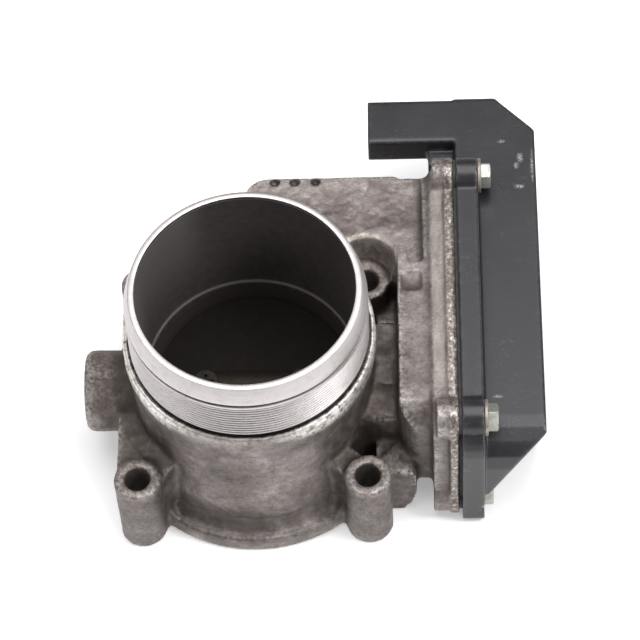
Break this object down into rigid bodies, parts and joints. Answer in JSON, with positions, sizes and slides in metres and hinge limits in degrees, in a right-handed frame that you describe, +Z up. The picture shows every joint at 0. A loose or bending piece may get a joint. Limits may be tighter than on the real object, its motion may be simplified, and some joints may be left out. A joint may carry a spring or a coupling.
{
  "type": "electronic throttle body",
  "caption": "Drive-by-wire throttle body: cast aluminium air bore with hose neck and square bolted flange, motor block, gear train on the throttle shaft, black plastic gear cover.",
  "frame": {"origin": "centre of the outlet flange face, on the air bore axis", "axes": "+Z up the bore towards the hose neck, X along the throttle shaft with +X to the gear cover, +Y to the motor"},
  "size_m": [0.133, 0.1337, 0.076],
  "materials": {
    "cast_aluminium": "rough cast, machined neck",
    "cover_plastic": "satin black",
    "gasket_rubber": "matte",
    "zinc_screw": "zinc plated, dull",
    "washer_steel": "dull, light rust",
    "bearing_steel": "ground",
    "brass_part": "plain",
    "seal_rubber": "matte",
    "plug_steel": "plain",
    "shaft_steel": "ground",
    "plate_metal": "sooty dark",
    "dark_screw": "dark",
    "gear_plastic": "natural nylon",
    "pinion_metal": "plain",
    "rotor_plastic": "matte",
    "can_steel": "plain",
    "magnet": "ferrite",
    "end_plate_plastic": "matte",
    "carbon": "carbon",
    "copper_alloy": "plain",
    "spring_steel": "plain",
    "board_green": "circuit board",
    "winding_copper": "enamelled wire"
  },
  "bodies": {
    "housing": {"throttle_housing": "cast_aluminium", "gear_cover": "cover_plastic", "cover_gasket": "gasket_rubber", "cover_screws": "zinc_screw", "cover_screw_washers": "washer_steel", "needle_bearing_shell": "bearing_steel", "ball_bearing_outer_ring": "bearing_steel", "shaft_seals": "seal_rubber", "shaft_bore_plug": "plug_steel", "intermediate_gear_pin": "shaft_steel", "motor_can": "can_steel", "motor_magnets": "magnet", "motor_end_plate": "end_plate_plastic", "motor_bushes": "brass_part", "carbon_brushes": "carbon", "motor_terminals": "copper_alloy", "motor_screws": "dark_screw", "motor_wave_washer": "spring_steel", "connector_pins": "copper_alloy", "sensor_board": "board_green", "board_posts": "cover_plastic", "motor_contacts": "copper_alloy", "closed_stop_screw": "dark_screw", "return_spring": "spring_steel"},
    "throttle": {"throttle_shaft": "shaft_steel", "throttle_plate": "plate_metal", "plate_screws": "dark_screw", "ball_bearing_inner_ring": "bearing_steel", "sector_gear": "gear_plastic", "sensor_rotor": "rotor_plastic"},
    "ball_set": {"bearing_balls": "bearing_steel", "ball_cage": "brass_part"},
    "needle_set": {"needle_rollers": "bearing_steel"},
    "intermediate": {"intermediate_gear": "gear_plastic"},
    "motor_rotor": {"armature_core": "can_steel", "armature_windings": "winding_copper", "commutator": "copper_alloy", "motor_shaft": "shaft_steel", "motor_pinion": "pinion_metal"}
  },
  "joints": [
    {"name": "throttle_spin", "type": "hinge", "parent": "housing", "child": "throttle", "pos_m": [0, 0, 0.0225], "axis": [1, 0, 0], "range_deg": [-6, 80], "stiffness_Nm_per_rad": 0.05, "deforming": ["return_spring"]},
    {"name": "ball_set_spin", "type": "hinge", "parent": "housing", "child": "ball_set", "pos_m": [0, 0, 0.0225], "axis": [1, 0, 0], "range_deg": [-3, 34]},
    {"name": "needle_set_spin", "type": "hinge", "parent": "housing", "child": "needle_set", "pos_m": [0, 0, 0.0225], "axis": [1, 0, 0], "range_deg": [-3, 38]},
    {"name": "intermediate_spin", "type": "hinge", "parent": "housing", "child": "intermediate", "pos_m": [0, 0.024, 0.0225], "axis": [1, 0, 0], "range_deg": [-242, 20]},
    {"name": "motor_spin", "type": "hinge", "parent": "housing", "child": "motor_rotor", "pos_m": [0, 0.0506, 0.0225], "axis": [1, 0, 0], "range_deg": [-46, 600]}
  ],
  "couplings": [
    {"joint": "ball_set_spin", "follows": "throttle_spin", "ratio": 0.4},
    {"joint": "needle_set_spin", "follows": "throttle_spin", "ratio": 0.44},
    {"joint": "intermediate_spin", "follows": "throttle_spin", "ratio": -3},
    {"joint": "motor_spin", "follows": "throttle_spin", "ratio": 7.3636}
  ]
}
